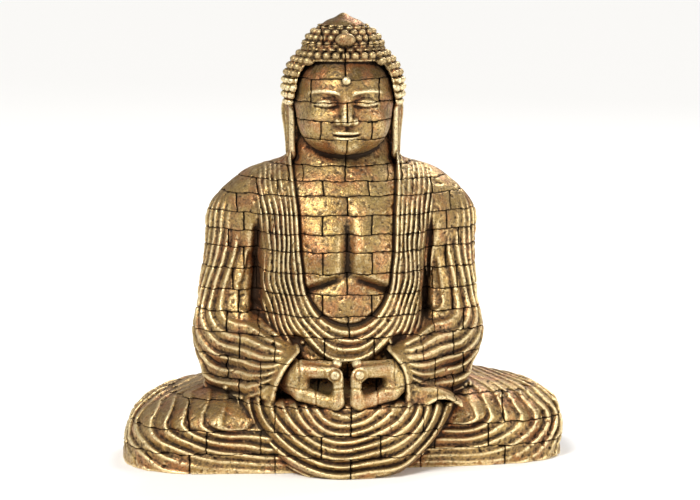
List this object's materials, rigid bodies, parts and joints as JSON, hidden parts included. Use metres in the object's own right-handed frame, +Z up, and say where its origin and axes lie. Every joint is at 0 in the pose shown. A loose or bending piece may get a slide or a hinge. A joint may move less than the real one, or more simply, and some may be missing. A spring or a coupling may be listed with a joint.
{
  "type": "seated buddha statue",
  "caption": "Small seated figure in a pleated robe with its hands in its lap, built of cast blocks in level courses that stand on a flat base.",
  "frame": {"origin": "middle of the flat base, on the surface that the statue stands on", "axes": "+Z up, +X to the viewer's right, +Y from the front of the figure to its back, so that the face looks along -Y"},
  "size_m": [0.16, 0.102, 0.16],
  "materials": {
    "robe": "satin",
    "skin": "satin",
    "hair": "satin"
  },
  "bodies": {
    "root": {"knee_left_1": "robe", "knee_right_1": "robe", "knee_left_2": "robe", "knee_right_2": "robe", "knee_left_3": "robe", "knee_right_3": "robe", "knee_left_4": "robe", "knee_right_4": "robe", "drape_1": "robe", "drape_2": "robe", "drape_3": "robe", "drape_4": "robe", "sleeve_left_1": "robe", "sleeve_right_1": "robe", "sleeve_left_2": "robe", "sleeve_right_2": "robe", "sleeve_left_3": "robe", "sleeve_right_3": "robe", "sleeve_left_4": "robe", "sleeve_right_4": "robe", "waist_1": "robe", "waist_2": "robe", "waist_3": "robe", "waist_4": "robe", "mantle_left_1": "robe", "mantle_right_1": "robe", "mantle_left_2": "robe", "mantle_right_2": "robe", "mantle_left_3": "robe", "mantle_right_3": "robe", "mantle_left_4": "robe", "mantle_right_4": "robe", "mantle_left_5": "robe", "mantle_right_5": "robe", "mantle_left_6": "robe", "mantle_right_6": "robe", "mantle_left_7": "robe", "mantle_right_7": "robe", "chest_1": "skin", "chest_2": "skin", "chest_3": "skin", "chest_4": "skin", "chest_5": "skin", "chest_6": "skin", "chest_7": "skin", "neck": "skin", "chin": "skin", "cheeks": "skin", "brow": "skin", "hair": "hair", "topknot": "hair", "cap": "hair", "hand_left": "skin", "hand_right": "skin", "ear_left": "skin", "ear_right": "skin", "forehead_dot": "skin", "crown_jewel": "hair"}
  },
  "joints": []
}
